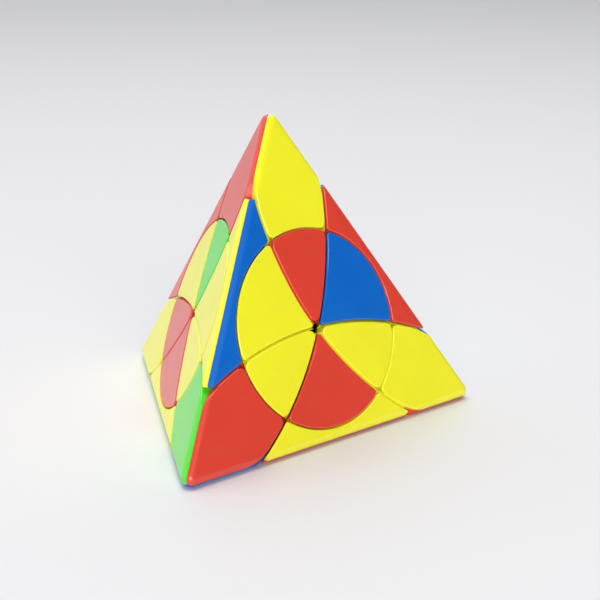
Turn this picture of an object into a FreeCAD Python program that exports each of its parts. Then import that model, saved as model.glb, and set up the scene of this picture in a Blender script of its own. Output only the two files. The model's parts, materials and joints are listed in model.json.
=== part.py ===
"""Pyramid twisty puzzle: four corners, six edges and a ring of six turning petals on every face.

Millimetres.  Pieces are modelled about the centre of the base face, with +Z up through the top corner and
the front face towards -Y, and are written with the origin in the middle of the base's outline box.
Every moving boundary is a surface of revolution about a corner axis or a face axis, so the layers can turn.
"""
import FreeCAD
import Part
import math
import os

Vec = FreeCAD.Vector

# ---- outside shape ---------------------------------------------------------------------------------
EDGE = 102.0              # edge length of the sharp tetrahedron
ROUND = 2.2               # rounding along the six tetrahedron edges and over the corners

HEIGHT = EDGE * math.sqrt(2.0 / 3.0)
INRADIUS = HEIGHT / 4.0   # centre of the puzzle to each face
CIRCUM = EDGE / math.sqrt(3.0)

OUTLINE_SHIFT = CIRCUM * (1.0 - ROUND / INRADIUS) / 4.0   # base centre to middle of the outline box

# ---- cuts between the layers -----------------------------------------------------------------------
CUT_OFFSET = 87.5         # centre of each cut sphere, behind the puzzle centre on the corner axis
GAP = 0.36                # clearance between neighbouring pieces
HALF_GAP = GAP / 2.0
CUT_RADIUS = math.sqrt(CUT_OFFSET ** 2 + INRADIUS ** 2 + 2.0 / 3.0 * INRADIUS * CUT_OFFSET)
BALL_R = 8.0              # core ball
FOOT_IN = 8.35            # inside of the edge feet
FOOT_OUT = 12.0           # outside of the edge feet
FOOT_GAP = 0.35           # radial play between edge feet and corner flanges
FOOT_CONE = 21.0          # half angle of the foot about the edge axis
NECK_T, NECK_W = 1.8, 8.0         # neck of an edge, along the edge and across it
STEM_ANGLE = 31.0         # half angle of the corner stem beside the feet
FLANGE_IN = FOOT_OUT + FOOT_GAP
FLANGE_OUT = 16.25
FLANGE_ANGLE = 46.0       # half angle of the corner flange over the feet
NECK_CONE = 40.0          # half angle of the corner neck above the flange
SHELL_IN = 16.6           # inside of the outer blocks

# ---- face circle -----------------------------------------------------------------------------------
CIRCLE_R = 25.3           # middle of the gap round the petals
PLATE = 1.5               # thickness of the petal plate at its rim
T_TOP, T_FLOOR = 6.0, 8.0         # depth below the face of the T foot, top and bottom
T_IN, T_OUT = 11.0, 15.7          # T foot, inside and outside radius
T_PLAY = 0.35                     # play round the T foot
PETAL_BALL = 16.35                # petals stay outside this ball

# ---- roundings of the piece outlines ---------------------------------------------------------------
RIM_R = 0.4               # rounding of every rim at the outside
JUNCTION_R = 1.5          # outline corners where a layer cut meets the face circle
CENTRE_R = 1.3            # petal tips at the face centre
CENTRE_HOLE_R = 1.35      # hole between the petal tips, through the petals
EDGE_TIP_R = 1.0          # thin tips of the edges
SHOULDER_R = 13.0         # blunt outline corners of the corner caps beside the edge tips
OUTLINE_DEEP = 3.0        # how deep the outline corners are rounded
SHOULDER_DEEP = 6.0
CREST = EDGE / (2.0 * math.sqrt(3.0)) - ROUND * (math.sqrt(3.0) - 1.0) * math.sqrt(2.0 / 3.0)

# ---- corner internals, distances along the corner axis from the puzzle centre ----------------------
HUB_TOP = 26.0
BOSS_TOP = 29.5
BOSS_R = 5.6
WELL_R = 4.1
WELL_FLOOR = 16.0
ARM_R, ARM_TOP = 2.6, 14.0
ARM_CLEAR = 2.95
SCREW_R, SCREW_HOLE = 1.4, 1.8
HEAD_R, HEAD_LOW, HEAD_HIGH = 3.2, 23.1, 25.2
WASHER_R, WASHER_LOW = 3.6, 22.6
SPRING_R, WIRE_R, SPRING_LOW = 2.7, 0.35, 16.35
CAVITY_LOW_R, CAVITY_TOP_R, CAVITY_TOP = 7.2, 2.2, 48.0

# ---- directions ------------------------------------------------------------------------------------
CENTRE = Vec(0, 0, INRADIUS)


def unit(degrees):
    return Vec(math.cos(math.radians(degrees)), math.sin(math.radians(degrees)), 0)


POINTS = {"top": Vec(0, 0, HEIGHT), "left": unit(-150) * CIRCUM,
          "right": unit(-30) * CIRCUM, "back": unit(90) * CIRCUM}
AXES = {name: (point - CENTRE).normalize() for name, point in POINTS.items()}
FACES = {"front": ("top", "left", "right"), "west": ("top", "left", "back"),
         "east": ("top", "right", "back"), "base": ("left", "right", "back")}
OPPOSITE = {"front": "back", "west": "right", "east": "left", "base": "top"}
NORMALS = {face: AXES[corner] * -1.0 for face, corner in OPPOSITE.items()}


# ---- small helpers ---------------------------------------------------------------------------------
def frame_matrix(axis, side):
    """Matrix with local Z along axis and local X towards side."""
    x_dir = (side - axis * side.dot(axis)).normalize()
    y_dir = axis.cross(x_dir)
    return FreeCAD.Matrix(x_dir.x, y_dir.x, axis.x, 0, x_dir.y, y_dir.y, axis.y, 0,
                          x_dir.z, y_dir.z, axis.z, 0, 0, 0, 0, 1)


def placed(shape, axis, side=Vec(0.3, 0.2, 0.1)):
    """Copy of a shape modelled about local +Z from the puzzle centre, turned to another axis."""
    lift = FreeCAD.Matrix()
    lift.move(CENTRE)
    result = shape.copy()
    result.Placement = FreeCAD.Placement(lift * frame_matrix(axis, side)).multiply(result.Placement)
    return result


def turned(shape, corner, face):
    """Copy of a master built for the top corner and front face, turned to another corner and face."""
    start = frame_matrix(AXES["top"], NORMALS["front"])
    goal = frame_matrix(AXES[corner], NORMALS[face])
    drop = FreeCAD.Matrix()
    drop.move(CENTRE * -1.0)
    lift = FreeCAD.Matrix()
    lift.move(CENTRE)
    result = shape.copy()
    result.Placement = FreeCAD.Placement(lift * goal * start.inverse() * drop)
    return result


def revolve(edges):
    face = Part.Face(Part.Wire(edges))
    return face.revolve(Vec(0, 0, 0), Vec(0, 0, 1), 360)


def revolve_points(points):
    vectors = [Vec(x, 0, z) for x, z in points]
    return revolve(Part.makePolygon(vectors + vectors[:1]).Edges)


def arc(start, middle, end):
    return Part.Arc(start, middle, end).toShape()


# ---- zones -----------------------------------------------------------------------------------------
def cut_ball(corner, side):
    """Ball behind the corner; side = +1 is the larger one, for the pieces that stay outside it."""
    ball = Part.makeSphere(CUT_RADIUS + side * HALF_GAP)
    ball.translate(CENTRE - AXES[corner] * CUT_OFFSET)
    return ball


def lipped_ball(corner, face, side):
    """Cut ball whose rim at one face is rounded.

    side = -1 trims a piece inside the ball and rounds its rim; side = +1 is subtracted from a piece
    outside the ball and flares at the face, which rounds that piece's rim.
    """
    radius = CUT_RADIUS + side * HALF_GAP
    plane = INRADIUS + CUT_OFFSET / 3.0
    height = plane - RIM_R
    reach = radius + side * RIM_R
    middle = Vec(math.sqrt(reach ** 2 - height ** 2), 0, height)
    touch = middle * (radius / reach)
    top = Vec(middle.x, 0, plane)
    mid_way = ((touch - middle).normalize() + (top - middle).normalize()).normalize()
    edges = [arc(Vec(0, 0, -radius), Vec(radius, 0, 0), touch),
             arc(touch, middle + mid_way * RIM_R, top),
             Part.makeLine(top, top + Vec(0, 0, 4)),
             Part.makeLine(top + Vec(0, 0, 4), Vec(0, 0, plane + 4)),
             Part.makeLine(Vec(0, 0, plane + 4), Vec(0, 0, -radius))]
    ball = placed(revolve(edges), NORMALS[face])
    ball.translate(AXES[corner] * -CUT_OFFSET)
    return ball


def sector(axis, half_angle, low, high):
    """Piece of a spherical shell inside a cone about an axis."""
    angle = math.radians(half_angle)

    def at(radius, part):
        return Vec(radius * math.sin(angle * part), 0, radius * math.cos(angle * part))

    edges = [arc(at(low, 0), at(low, 0.5), at(low, 1)), Part.makeLine(at(low, 1), at(high, 1)),
             arc(at(high, 1), at(high, 0.5), at(high, 0)), Part.makeLine(at(high, 0), at(low, 0))]
    return placed(revolve(edges), axis)


def tetrahedron():
    """Solid tetrahedron with every edge and corner rounded."""
    faces = [Part.Face(Part.makePolygon([POINTS[n] for n in trio] + [POINTS[trio[0]]]))
             for trio in FACES.values()]
    solid = Part.Solid(Part.Shell(faces))
    if solid.Volume < 0:
        solid.reverse()
    return solid.makeFillet(ROUND, solid.Edges)


def petal_body():
    """Full disc of the six petals about local +Z: rim plate, cone and T foot."""
    rim = CIRCLE_R - HALF_GAP
    face = INRADIUS
    points = [(rim, face - RIM_R), (rim - 0.6, face - PLATE),
              (rim - 6.4, face - T_TOP + 2), (T_IN, face - T_TOP + 2), (T_IN, face - T_TOP),
              (T_OUT, face - T_TOP), (T_OUT, face - T_FLOOR), (0, face - T_FLOOR),
              (0, face + 2), (rim - RIM_R, face + 2), (rim - RIM_R, face)]
    disc = rounded_revolve(points, (rim - RIM_R, face - RIM_R), 1)
    return disc.cut(Part.makeSphere(PETAL_BALL))


def petal_pocket():
    """Space cleared for the petals in the corners and edges about local +Z."""
    rim = CIRCLE_R + HALF_GAP
    face = INRADIUS
    points = [(rim, face - RIM_R), (rim - 0.6, face - PLATE - 0.2),
              (rim - 6.4, face - T_TOP + 1.75), (T_IN + T_PLAY, face - T_TOP + 1.75),
              (T_IN + T_PLAY, face - T_TOP + T_PLAY), (T_OUT + T_PLAY, face - T_TOP + T_PLAY),
              (T_OUT + T_PLAY, face - T_FLOOR - T_PLAY), (0, face - T_FLOOR - T_PLAY),
              (0, face + 4), (rim + RIM_R, face + 4), (rim + RIM_R, face)]
    return rounded_revolve(points, (rim + RIM_R, face - RIM_R), -1)


def rounded_revolve(points, middle, way):
    """Revolve an outline that is closed from its last point to its first by a quarter circle."""
    vectors = [Vec(x, 0, z) for x, z in points]
    diagonal = RIM_R * math.sqrt(0.5)
    halfway = Vec(middle[0] + way * diagonal, 0, middle[1] + diagonal)
    lines = Part.makePolygon(vectors).Edges
    return revolve(lines + [arc(vectors[-1], halfway, vectors[0])])


# ---- outline corners -------------------------------------------------------------------------------
# Outlines are worked out in the plane of the front face: x to the right, y towards the top corner,
# origin at the face centre.  Each wall is a function giving the distance of a point inside it.
FLAT = {"top": (0.0, 1.0), "left": (-math.sqrt(0.75), -0.5), "right": (math.sqrt(0.75), -0.5)}


def cut_wall(corner, side):
    """Wall of a layer cut; side = -1 for a piece inside the cut ball, +1 for one outside it."""
    plane = INRADIUS + CUT_OFFSET / 3.0
    radius = math.sqrt((CUT_RADIUS + side * HALF_GAP) ** 2 - plane ** 2)
    reach = CUT_OFFSET * math.sqrt(8.0) / 3.0
    mid_x, mid_y = -FLAT[corner][0] * reach, -FLAT[corner][1] * reach
    return lambda x, y: side * (math.hypot(x - mid_x, y - mid_y) - radius)


def circle_wall(side):
    """Wall of the face circle; side = -1 for a petal inside it, +1 for a piece outside it."""
    return lambda x, y: side * (math.hypot(x, y) - CIRCLE_R - side * HALF_GAP)


def crest_wall(corner):
    """Crest of the tetrahedron edge opposite a corner of the front face."""
    return lambda x, y: CREST + FLAT[corner][0] * x + FLAT[corner][1] * y


def slope(wall, x, y):
    step = 1e-4
    return ((wall(x + step, y) - wall(x - step, y)) / (2 * step),
            (wall(x, y + step) - wall(x, y - step)) / (2 * step))


def solve(first, second, depth, guess):
    """Point that lies at one depth inside two walls, by Newton steps."""
    x, y = guess
    for _ in range(30):
        ax, ay = slope(first, x, y)
        bx, by = slope(second, x, y)
        miss_a, miss_b = depth - first(x, y), depth - second(x, y)
        scale = ax * by - ay * bx
        x += (miss_a * by - miss_b * ay) / scale
        y += (ax * miss_b - bx * miss_a) / scale
    return x, y


def on_front(x, y, rise):
    """Space point for a point of the front face plane, raised along its normal."""
    normal = NORMALS["front"]
    up = (AXES["top"] - normal * AXES["top"].dot(normal)).normalize()
    across = up.cross(normal)
    return CENTRE + normal * (INRADIUS + rise) + up * y + across * x


def corner_trim(first, second, radius, guess, deep):
    """Solid that rounds the outline corner of a front face piece between two walls."""
    tip = Vec(*solve(first, second, 0.0, guess), 0)
    mid = Vec(*solve(first, second, radius, (tip.x, tip.y)), 0)
    touches = [mid - Vec(*slope(wall, mid.x, mid.y), 0) * radius for wall in (first, second)]
    outline = [mid, mid + (touches[0] - mid) * 1.15, mid + (tip - mid) * 1.15,
               mid + (touches[1] - mid) * 1.15, mid]
    prism = Part.Face(Part.makePolygon([on_front(p.x, p.y, -deep) for p in outline]))
    prism = prism.extrude(NORMALS["front"] * (deep + 1.0))
    lip = min(RIM_R, radius - 0.1)
    points = [(0, -deep - 1), (radius, -deep - 1), (radius, -lip)]
    top = [(radius - lip, 0), (radius - lip, 2), (0, 2), (0, -deep - 1)]
    diagonal = lip * math.sqrt(0.5)
    edges = Part.makePolygon([Vec(x, 0, z) for x, z in points]).Edges
    edges += [arc(Vec(radius, 0, -lip), Vec(radius - lip + diagonal, 0, -lip + diagonal),
                  Vec(radius - lip, 0, 0))]
    edges += Part.makePolygon([Vec(x, 0, z) for x, z in top]).Edges
    post = placed(revolve(edges), NORMALS["front"])
    post.translate(on_front(mid.x, mid.y, 0) - CENTRE)
    return prism.cut(post)


OUTSIDE = tetrahedron()
SHELL = OUTSIDE.cut(Part.makeSphere(SHELL_IN, CENTRE))
PETALS = placed(petal_body(), NORMALS["front"])
CENTRE_HOLE = placed(Part.makeCylinder(CENTRE_HOLE_R, 12.0, Vec(0, 0, INRADIUS - 8.0)), NORMALS["front"])
POCKETS = {face: placed(petal_pocket(), normal) for face, normal in NORMALS.items()}


def cut_all(shape, tools):
    for tool in tools:
        shape = shape.cut(tool)
    return shape


def outer_part(inside, outside):
    """Block of the shell that lies in front of some cuts and behind the others."""
    body = SHELL
    for corner in inside:
        body = body.cut(cut_ball(corner, +1))
    for corner in outside:
        body = body.common(cut_ball(corner, -1))
    return body


def rod(radius, low, high):
    return Part.makeCylinder(radius, high - low, Vec(0, 0, INRADIUS + low))


def corner_master():
    body = outer_part(["top"], ["left", "right", "back"])
    body = body.fuse([sector(AXES["top"], STEM_ANGLE, FOOT_IN, FLANGE_IN + 0.5),
                      sector(AXES["top"], FLANGE_ANGLE, FLANGE_IN, FLANGE_OUT),
                      sector(AXES["top"], NECK_CONE, FLANGE_OUT - 0.5, SHELL_IN + 1.5)])
    return cut_all(body, [POCKETS[f] for f in ("front", "west", "east")]).removeSplitter()


def edge_master():
    """Whole edge between the left and right corners."""
    axis = (POINTS["left"] + POINTS["right"]) * 0.5 - CENTRE
    axis.normalize()
    along = (POINTS["right"] - POINTS["left"]).normalize()
    body = outer_part(["left", "right"], ["top", "back"])
    neck = Part.makeBox(NECK_T, NECK_W, SHELL_IN + 2.0 - FOOT_OUT + 0.5,
                        Vec(-NECK_T / 2, -NECK_W / 2, FOOT_OUT - 0.5))
    foot = sector(axis, FOOT_CONE, FOOT_IN, FOOT_OUT)
    body = body.fuse([placed(neck, axis, along), foot])
    return cut_all(body, [POCKETS[f] for f in ("front", "base")]).removeSplitter()


def corner_petal_master():
    """Petal of the front face that points away from the top corner's opposite edge."""
    body = PETALS.common(OUTSIDE).cut(cut_ball("top", +1))
    for corner in ("left", "right"):
        body = body.common(lipped_ball(corner, "front", -1))
    left, right = cut_wall("left", -1), cut_wall("right", -1)
    return cut_all(body, [
        corner_trim(left, circle_wall(-1), JUNCTION_R, (-9, 23), OUTLINE_DEEP),
        corner_trim(right, circle_wall(-1), JUNCTION_R, (9, 23), OUTLINE_DEEP),
        corner_trim(left, right, CENTRE_R, (0, 0.5), OUTLINE_DEEP),
        CENTRE_HOLE])


def edge_petal_master():
    """Wide petal of the front face beside the lower edge."""
    body = PETALS.common(OUTSIDE).common(cut_ball("top", -1))
    for corner in ("left", "right"):
        body = body.cut(lipped_ball(corner, "front", +1))
    left, right = cut_wall("left", +1), cut_wall("right", +1)
    return cut_all(body, [
        corner_trim(left, circle_wall(-1), JUNCTION_R, (16, -19), OUTLINE_DEEP),
        corner_trim(right, circle_wall(-1), JUNCTION_R, (-16, -19), OUTLINE_DEEP),
        corner_trim(left, right, CENTRE_R, (0, -0.5), OUTLINE_DEEP),
        CENTRE_HOLE])


def below(height):
    """Slab of space under a height on the top corner axis."""
    return Part.makeBox(240, 240, 120, Vec(-120, -120, INRADIUS + height - 120))


def wedge(face):
    """Third of space round the top corner axis that holds one face."""
    flat = Vec(NORMALS[face].x, NORMALS[face].y, 0).normalize()
    side = Vec(-flat.y, flat.x, 0)
    spread = 150.0
    rim = [flat * spread + side * spread * math.sqrt(3), flat * spread - side * spread * math.sqrt(3)]
    outline = [Vec(0, 0, -60), rim[0] + Vec(0, 0, -60), rim[1] + Vec(0, 0, -60), Vec(0, 0, -60)]
    return Part.Face(Part.makePolygon(outline)).extrude(Vec(0, 0, 240))


def half_space(face, other):
    """Half of space on one face's side of the plane between two faces."""
    across = (NORMALS[face] - NORMALS[other]).normalize()
    box = Part.makeBox(240, 240, 120, Vec(-120, -120, 0))
    return placed(box, across)


def main_solid(shape):
    return max(shape.Solids, key=lambda solid: solid.Volume)


def corner_parts():
    """Coloured cap of the front face and plain hub of the top corner."""
    whole = main_solid(corner_master())
    lower = below(HUB_TOP)
    cavity = Part.makeCone(CAVITY_LOW_R, CAVITY_TOP_R, CAVITY_TOP - HUB_TOP, Vec(0, 0, INRADIUS + HUB_TOP))
    cap = main_solid(whole.cut(lower).common(wedge("front")).cut(cavity))
    for corner in ("left", "right"):
        cap = cap.common(lipped_ball(corner, "front", -1))
    left, right = cut_wall("left", -1), cut_wall("right", -1)
    cap = cut_all(cap, [
        corner_trim(left, circle_wall(+1), JUNCTION_R, (-9, 23), OUTLINE_DEEP),
        corner_trim(right, circle_wall(+1), JUNCTION_R, (9, 23), OUTLINE_DEEP),
        corner_trim(left, crest_wall("right"), SHOULDER_R, (-11, 38), SHOULDER_DEEP),
        corner_trim(right, crest_wall("left"), SHOULDER_R, (11, 38), SHOULDER_DEEP)])
    hub = whole.common(lower).fuse(rod(BOSS_R, HUB_TOP - 1, BOSS_TOP))
    hub = cut_all(hub, [rod(WELL_R, WELL_FLOOR, BOSS_TOP + 1), rod(SCREW_HOLE, ARM_TOP, WELL_FLOOR + 1),
                        rod(ARM_CLEAR, FOOT_IN - 2, ARM_TOP + 0.4)])
    return main_solid(cap), main_solid(hub.removeSplitter())


def edge_half():
    """Front half of the edge between the left and right corners."""
    half = main_solid(main_solid(edge_master()).common(half_space("front", "base")))
    for corner in ("left", "right"):
        half = half.cut(lipped_ball(corner, "front", +1))
    left, right = cut_wall("left", +1), cut_wall("right", +1)
    half = cut_all(half, [
        corner_trim(left, circle_wall(+1), JUNCTION_R, (16, -19), OUTLINE_DEEP),
        corner_trim(right, circle_wall(+1), JUNCTION_R, (-16, -19), OUTLINE_DEEP),
        corner_trim(left, crest_wall("top"), EDGE_TIP_R, (27, -28), SHOULDER_DEEP),
        corner_trim(right, crest_wall("top"), EDGE_TIP_R, (-27, -28), SHOULDER_DEEP)])
    return main_solid(half)


def core():
    body = Part.makeSphere(BALL_R, CENTRE)
    for axis in AXES.values():
        body = body.fuse(placed(Part.makeCylinder(ARM_R, ARM_TOP), axis))
    for axis in AXES.values():
        body = body.cut(placed(Part.makeCylinder(SCREW_R + 0.02, ARM_TOP, Vec(0, 0, 5.0)), axis))
    return body.removeSplitter()


def screw():
    shank = rod(SCREW_R, 5.2, HEAD_LOW + 0.5)
    head = rod(HEAD_R, HEAD_LOW, HEAD_HIGH)
    slot = Part.makeBox(1.0, 3.4, 1.2, Vec(-0.5, -1.7, INRADIUS + HEAD_HIGH - 1.1))
    cross = Part.makeBox(3.4, 1.0, 1.2, Vec(-1.7, -0.5, INRADIUS + HEAD_HIGH - 1.1))
    return cut_all(shank.fuse(head), [slot, cross]).removeSplitter()


def washer():
    return rod(WASHER_R, WASHER_LOW, HEAD_LOW).cut(rod(SCREW_R + 0.15, WASHER_LOW - 1, HEAD_LOW + 1))


def spring():
    low = SPRING_LOW + WIRE_R
    high = WASHER_LOW - WIRE_R
    coil = Part.makeHelix((high - low) / 4.0, high - low, SPRING_R)
    coil.translate(Vec(0, 0, INRADIUS + low))
    middle = Vec(SPRING_R, 0, INRADIUS + low)
    ring = [middle + Vec(math.cos(step * math.pi / 4), 0, math.sin(step * math.pi / 4)) * WIRE_R
            for step in range(8)]
    wire = Part.makePolygon(ring + ring[:1])
    return Part.Wire(coil.Edges).makePipeShell([wire], True, True)


def others(corner, face):
    """The two corners of a face besides the named one."""
    return [name for name in FACES[face] if name != corner]


def all_parts():
    """Every solid by node name."""
    cap, hub = corner_parts()
    masters = {"cap": cap, "petal": main_solid(corner_petal_master())}
    half = edge_half()
    wide = main_solid(edge_petal_master())
    parts = {"core": core()}
    for face, trio in FACES.items():
        for corner in trio:
            parts["corner_cap_%s_%s" % (corner, face)] = turned(masters["cap"], corner, face)
            parts["corner_petal_%s_%s" % (corner, face)] = turned(masters["petal"], corner, face)
            pair = "%s_%s" % tuple(others(corner, face))
            parts["edge_half_%s_%s" % (pair, face)] = turned(half, corner, face)
            parts["edge_petal_%s_%s" % (pair, face)] = turned(wide, corner, face)
    homes = {"top": "front", "left": "west", "right": "east", "back": "base"}
    for corner, face in homes.items():
        parts["corner_hub_%s" % corner] = turned(hub, corner, face)
    for name, make in (("screws", screw), ("washers", washer), ("springs", spring)):
        solid = make()
        parts[name] = Part.makeCompound([turned(solid, corner, face) for corner, face in homes.items()])
    return parts


os.makedirs("parts", exist_ok=True)
for node, shape in all_parts().items():
    shape.translate(Vec(0, -OUTLINE_SHIFT, 0))
    shape.exportStep("parts/%s.step" % node)
    print(node, len(shape.Solids), round(shape.Volume, 1), shape.isValid())
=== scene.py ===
"""Looks of the pyramid twisty puzzle: moulded plastic pieces in four colours on a pale studio floor."""

from __future__ import annotations

import json
import logging
from dataclasses import dataclass
from enum import Enum
from math import radians

import bpy
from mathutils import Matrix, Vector

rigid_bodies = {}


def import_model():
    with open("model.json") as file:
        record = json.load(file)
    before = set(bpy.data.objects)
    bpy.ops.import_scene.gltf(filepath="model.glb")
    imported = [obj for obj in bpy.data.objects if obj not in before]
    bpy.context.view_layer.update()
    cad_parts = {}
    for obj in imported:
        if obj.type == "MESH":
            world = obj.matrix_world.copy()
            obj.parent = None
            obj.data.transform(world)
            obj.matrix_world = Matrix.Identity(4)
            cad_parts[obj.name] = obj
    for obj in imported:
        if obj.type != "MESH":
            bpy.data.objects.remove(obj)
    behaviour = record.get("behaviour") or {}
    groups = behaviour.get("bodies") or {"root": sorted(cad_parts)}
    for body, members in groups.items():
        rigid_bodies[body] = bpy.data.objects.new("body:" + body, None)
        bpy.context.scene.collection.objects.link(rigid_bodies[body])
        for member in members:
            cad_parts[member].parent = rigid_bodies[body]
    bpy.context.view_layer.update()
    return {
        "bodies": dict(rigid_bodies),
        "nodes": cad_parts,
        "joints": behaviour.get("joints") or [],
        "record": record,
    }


LOG = logging.getLogger("puzzle")
MM = 0.001


def srgb(code: str) -> tuple[float, float, float, float]:
    """Turn a hex colour into linear red, green, blue and full alpha.

    Args:
        code: six hex digits, such as "f8f332".

    Returns:
        The linear colour.
    """
    parts = [int(code[i:i + 2], 16) / 255 for i in (0, 2, 4)]
    linear = [c / 12.92 if c <= 0.04045 else ((c + 0.055) / 1.055) ** 2.4 for c in parts]
    return linear[0], linear[1], linear[2], 1.0


def add_node(tree: bpy.types.NodeTree, kind: str, place: tuple[float, float],
             links: dict[str, bpy.types.NodeSocket] | None = None, **inputs: object) -> bpy.types.Node:
    """Add a shader node, place it, set its sockets and properties by name and link its inputs.

    Args:
        tree: the node tree.
        kind: the node's type name.
        place: where it is drawn.
        links: for each input named, the output that feeds it.
        inputs: socket values, or node properties, with spaces written as underscores.

    Returns:
        The new node.
    """
    node = tree.nodes.new(kind)
    node.location = place
    for name, value in inputs.items():
        socket = node.inputs.get(name.replace("_", " "))
        if socket is not None:
            socket.default_value = value
        else:
            setattr(node, name, value)
    for name, source in (links or {}).items():
        tree.links.new(source, node.inputs[name])
    return node


def blank_material(name: str) -> tuple[bpy.types.Material, bpy.types.NodeTree, bpy.types.NodeSocket]:
    """Make an empty node material.

    Args:
        name: what the real material is called.

    Returns:
        The material, its node tree and the output that gives the position on the piece.
    """
    material = bpy.data.materials.new(name)
    material.use_nodes = True
    tree = material.node_tree
    tree.nodes.clear()
    place = add_node(tree, "ShaderNodeTexCoord", (-1100, 0)).outputs["Object"]
    return material, tree, place


def add_noise(tree: bpy.types.NodeTree, place: bpy.types.NodeSocket, size_mm: float, height: float,
              detail: float = 2.0) -> bpy.types.NodeSocket:
    """Add a noise with lumps of a given size.

    Args:
        tree: the node tree.
        place: the position on the piece.
        size_mm: about how wide a lump is.
        height: how high up the node is drawn.
        detail: how much finer noise is laid over it.

    Returns:
        The noise's output.
    """
    noise = add_node(tree, "ShaderNodeTexNoise", (-800, height), {"Vector": place},
                     Scale=1 / (size_mm * MM), Detail=detail)
    return noise.outputs["Fac"]


class Colour(Enum):
    """The four plastic colours of the puzzle, by the record's material slot."""

    YELLOW = "plastic_yellow"
    RED = "plastic_red"
    BLUE = "plastic_blue"
    GREEN = "plastic_green"


@dataclass(frozen=True)
class MouldedABS:
    """ABS, injection moulded in a satin tool and pigmented right through.

    To the eye it is one strong, even colour that turns milky at a grazing angle.  A little light goes
    into the plastic, so rounded rims and narrow gaps keep their colour and don't go grey.  Around a
    roughness of 0.28 the uneven polish rendered as hard-edged blotches, so all of its range is higher.

    Attributes:
        name: the material's name.
        colour: the pigment, as six hex digits.
        ior: how strongly the plastic bends light.
        roughness: how satin it is.
        polish_range: how far the roughness goes either way.
        polish_mm: how wide a polished patch is.
        polish_span: the noise values at the two ends of that range.
        drift: how far the pigment drifts either way, as a share of it.
        drift_mm: how wide a drift is.
        drift_span: the noise values at the two ends of the drift.
        grain_mm: how wide the tool's grain is.
        grain_deep_mm: how deep the grain is.
        skin: how strong the clear sheen is that turns milky at a grazing angle.
        skin_roughness: how satin the sheen is.
        glow: how much light goes into the plastic.
        glow_mm: how far it goes in.
        glow_least: the least that any colour of light spreads, as a share of glow_mm.
    """

    name: str
    colour: str
    ior: float = 1.54
    roughness: float = 0.31
    polish_range: float = 0.025
    polish_mm: float = 9.0
    polish_span: tuple[float, float] = (0.3, 0.7)
    drift: float = 0.02
    drift_mm: float = 18.0
    drift_span: tuple[float, float] = (0.35, 0.65)
    grain_mm: float = 0.5
    grain_deep_mm: float = 0.005
    skin: float = 0.35
    skin_roughness: float = 0.2
    glow: float = 0.3
    glow_mm: float = 1.4
    glow_least: float = 0.08

    def build(self) -> bpy.types.Material:
        """Build the node material.

        Returns:
            The finished material.
        """
        material, tree, place = blank_material(self.name)
        links = {"Base Color": self._drift(tree, place), "Roughness": self._polish(tree, place),
                 "Normal": self._grain(tree, place)}
        shader = add_node(tree, "ShaderNodeBsdfPrincipled", (400, 0), links)
        shader.inputs["IOR"].default_value = self.ior
        shader.inputs["Coat Weight"].default_value = self.skin
        shader.inputs["Coat Roughness"].default_value = self.skin_roughness
        shader.inputs["Subsurface Weight"].default_value = self.glow
        shader.inputs["Subsurface Scale"].default_value = self.glow_mm * MM
        spread = [max(c, self.glow_least) for c in srgb(self.colour)[:3]]
        shader.inputs["Subsurface Radius"].default_value = spread
        add_node(tree, "ShaderNodeOutputMaterial", (700, 0), {"Surface": shader.outputs["BSDF"]})
        return material

    def _drift(self, tree: bpy.types.NodeTree, place: bpy.types.NodeSocket) -> bpy.types.NodeSocket:
        """Let the colour drift a little, as pigment does where the melt flows.

        Args:
            tree: the node tree.
            place: the position on the piece.

        Returns:
            The colour output.
        """
        base = srgb(self.colour)[:3]
        cloud = add_noise(tree, place, self.drift_mm, 300)
        ramp = add_node(tree, "ShaderNodeValToRGB", (-500, 300), {"Fac": cloud})
        shades = zip(ramp.color_ramp.elements, self.drift_span, (1.0 - self.drift, 1.0 + self.drift))
        for stop, position, shade in shades:
            stop.position = position
            stop.color = [min(c * shade, 1.0) for c in base] + [1.0]
        return ramp.outputs["Color"]

    def _polish(self, tree: bpy.types.NodeTree, place: bpy.types.NodeSocket) -> bpy.types.NodeSocket:
        """Vary the roughness a little, as fingers polish a piece unevenly.

        Args:
            tree: the node tree.
            place: the position on the piece.

        Returns:
            The roughness output.
        """
        smear = add_noise(tree, place, self.polish_mm, -50, detail=3.0)
        low, high = self.polish_span
        span = add_node(tree, "ShaderNodeMapRange", (-500, -50), {"Value": smear},
                        From_Min=low, From_Max=high,
                        To_Min=self.roughness - self.polish_range, To_Max=self.roughness + self.polish_range)
        return span.outputs["Result"]

    def _grain(self, tree: bpy.types.NodeTree, place: bpy.types.NodeSocket) -> bpy.types.NodeSocket:
        """Press a fine tool grain into the surface, too fine to show in a view of the whole puzzle.

        Args:
            tree: the node tree.
            place: the position on the piece.

        Returns:
            The normal output.
        """
        grain = add_noise(tree, place, self.grain_mm, -400)
        bump = add_node(tree, "ShaderNodeBump", (-200, -400), {"Height": grain},
                        Strength=1.0, Distance=self.grain_deep_mm * MM)
        return bump.outputs["Normal"]


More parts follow.
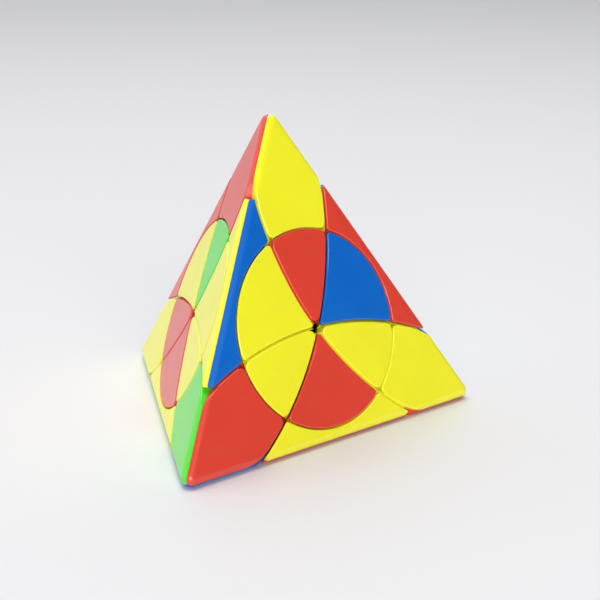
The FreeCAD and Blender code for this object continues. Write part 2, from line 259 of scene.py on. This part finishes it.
@dataclass(frozen=True)
class TurnedSteel:
    """Zinc plated steel, turned or drawn: bright grey, with fine marks that break up its shine.

    Attributes:
        name: the material's name.
        colour: the plating, as six hex digits.
        marks_mm: how wide a mark is.
        roughness: the smoothest and the roughest that the marks could make it.
    """

    name: str
    colour: str = "c9cacc"
    marks_mm: float = 0.4
    roughness: tuple[float, float] = (0.22, 0.42)

    def build(self) -> bpy.types.Material:
        """Build the node material.

        Returns:
            The finished material.
        """
        material, tree, place = blank_material(self.name)
        marks = add_noise(tree, place, self.marks_mm, 0, detail=3.0)
        low, high = self.roughness
        span = add_node(tree, "ShaderNodeMapRange", (-200, 0), {"Value": marks}, To_Min=low, To_Max=high)
        shader = add_node(tree, "ShaderNodeBsdfPrincipled", (200, 0), {"Roughness": span.outputs["Result"]},
                          Metallic=1.0, Base_Color=srgb(self.colour))
        add_node(tree, "ShaderNodeOutputMaterial", (500, 0), {"Surface": shader.outputs["BSDF"]})
        return material


@dataclass
class Pieces:
    """One kind of piece: the solids whose names start alike, and the finishes that they wear."""

    frame: dict
    finishes: dict[str, bpy.types.Material]
    prefixes: tuple[str, ...] = ()

    def dress(self) -> int:
        """Put each piece's finish on its solid.

        Returns:
            How many pieces were dressed.
        """
        count = 0
        for part in self.frame["record"]["subparts"]:
            if part["node"].startswith(self.prefixes):
                solid = self.frame["nodes"][part["node"]]
                solid.data.materials.clear()
                solid.data.materials.append(self.finishes[part["material_slot"]])
                LOG.info("%s wears %s", part["node"], part["material_slot"])
                count += 1
        return count


@dataclass
class Corners(Pieces):
    """The four corners: three coloured caps each, on a dark hub."""

    prefixes: tuple[str, ...] = ("corner_cap_", "corner_hub_")


@dataclass
class Edges(Pieces):
    """The six edges: two coloured halves each, which meet along the crest."""

    prefixes: tuple[str, ...] = ("edge_half_",)


@dataclass
class FaceCircles(Pieces):
    """The four face circles: three narrow and three wide petals each."""

    prefixes: tuple[str, ...] = ("corner_petal_", "edge_petal_")


@dataclass
class Mechanism(Pieces):
    """The core and the screws, washers and springs that hold the corners to it."""

    prefixes: tuple[str, ...] = ("core", "screws", "washers", "springs")


@dataclass
class Puzzle:
    """The whole puzzle: its finishes, and the sub-assemblies that wear them."""

    frame: dict
    yellow: str = "f7f22a"
    red: str = "e04330"
    blue: str = "0069c9"
    green: str = "4fdc27"
    hub: str = "303032"
    hub_roughness: float = 0.42
    core: str = "b9b9b7"
    core_roughness: float = 0.4

    def finishes(self) -> dict[str, bpy.types.Material]:
        """Build one material for each slot of the record.

        Returns:
            The materials, by slot name.
        """
        return {
            Colour.YELLOW.value: MouldedABS("yellow moulded ABS", self.yellow).build(),
            Colour.RED.value: MouldedABS("red moulded ABS", self.red).build(),
            Colour.BLUE.value: MouldedABS("blue moulded ABS", self.blue).build(),
            Colour.GREEN.value: MouldedABS("green moulded ABS", self.green).build(),
            "hub_plastic": MouldedABS("black moulded ABS", self.hub, roughness=self.hub_roughness,
                                      glow=0.0).build(),
            "core_plastic": MouldedABS("grey moulded ABS", self.core, roughness=self.core_roughness,
                                       glow=0.0).build(),
            "steel": TurnedSteel("zinc plated steel").build(),
        }

    def dress(self) -> None:
        """Dress the sub-assemblies in order, and check that no piece was missed."""
        finishes = self.finishes()
        wanted = len(self.frame["record"]["subparts"])
        total = 0
        for kind in (Corners, Edges, FaceCircles, Mechanism):
            count = kind(self.frame, finishes).dress()
            LOG.info("%s: %d pieces", kind.__name__, count)
            total += count
        if total != wanted:
            raise RuntimeError(f"{total} pieces dressed of {wanted}")


@dataclass(frozen=True)
class SoftBox:
    """One square soft box that faces the middle of the puzzle, in metres and watts."""

    name: str
    place: tuple[float, float, float]
    size: float
    power: float
    aim_height: float = 0.03

    def hang(self) -> None:
        """Hang it and turn it to the puzzle."""
        data = bpy.data.lights.new(self.name, "AREA")
        data.size = self.size
        data.energy = self.power
        lamp = bpy.data.objects.new(self.name, data)
        lamp.location = self.place
        aim = Vector((0, 0, self.aim_height)) - Vector(self.place)
        lamp.rotation_euler = aim.to_track_quat("-Z", "Y").to_euler()
        bpy.context.scene.collection.objects.link(lamp)
        LOG.info("%s light: %.1f W", self.name, self.power)


@dataclass
class Studio:
    """Pale floor, soft lights, the pale room around them and the camera.

    The room's brightness goes by how far back a ray points, 1 being straight back: room_front where it
    points forward, then rising over room_span to room_back.
    """

    floor_colour: str = "e5e4e4"
    floor_roughness: float = 0.55
    floor_side: float = 6.0
    key: SoftBox = SoftBox("key", (-0.83, -1.2, 0.3), 1.1, 21.0)
    top: SoftBox = SoftBox("top", (0.05, 0.1, 1.1), 0.9, 8.0)
    camera_place_mm: tuple[float, float, float] = (-239.27, -294.90, 145.72)
    camera_turn_deg: tuple[float, float, float] = (72.6665, -0.8365, -41.3727)
    camera_nearest: float = 0.01
    lens_mm: float = 89.6
    film_mm: float = 36.0
    room_colour: str = "f6f8ff"
    room_span: tuple[float, float] = (0.0, 0.5)
    room_front: float = 0.06
    room_back: float = 1.1

    def build(self) -> None:
        """Build the floor, the lights, the surroundings and the camera."""
        self._floor()
        self._surroundings()
        self.key.hang()
        self.top.hang()
        self._camera()

    def _floor(self) -> None:
        """Lay the plain floor under the puzzle."""
        bpy.ops.mesh.primitive_plane_add(size=self.floor_side, location=(0, 0, 0))
        floor = bpy.context.object
        floor.name = "studio_floor"
        material = bpy.data.materials.new("matt paper")
        material.use_nodes = True
        shader = material.node_tree.nodes["Principled BSDF"]
        shader.inputs["Base Color"].default_value = srgb(self.floor_colour)
        shader.inputs["Roughness"].default_value = self.floor_roughness
        floor.data.materials.append(material)

    def _surroundings(self) -> None:
        """Fill the room with pale light, bright behind the puzzle and dim in front of it."""
        world = bpy.data.worlds.new("studio")
        world.use_nodes = True
        tree = world.node_tree
        back = tree.nodes["Background"]
        look = add_node(tree, "ShaderNodeTexCoord", (-900, 0))
        split = add_node(tree, "ShaderNodeSeparateXYZ", (-700, 0), {"Vector": look.outputs["Generated"]})
        low, high = self.room_span
        depth = add_node(tree, "ShaderNodeMapRange", (-500, 0), {"Value": split.outputs["Y"]},
                         From_Min=low, From_Max=high, To_Min=self.room_front, To_Max=self.room_back)
        tree.links.new(depth.outputs["Result"], back.inputs["Strength"])
        back.inputs["Color"].default_value = srgb(self.room_colour)
        bpy.context.scene.world = world

    def _camera(self) -> None:
        """Set the camera in front and to the left, higher than the puzzle's top."""
        data = bpy.data.cameras.new("camera")
        data.lens = self.lens_mm
        data.sensor_width = self.film_mm
        data.clip_start = self.camera_nearest
        camera = bpy.data.objects.new("camera", data)
        camera.location = Vector(self.camera_place_mm) * MM
        camera.rotation_euler = [radians(angle) for angle in self.camera_turn_deg]
        bpy.context.scene.collection.objects.link(camera)
        bpy.context.scene.camera = camera


def main() -> None:
    """Load the solids, dress them, and build the studio."""
    logging.basicConfig(level=logging.INFO)
    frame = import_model()
    Puzzle(frame).dress()
    Studio().build()
    bpy.context.scene.view_settings.view_transform = "Standard"


if __name__ == "__main__":
    main()
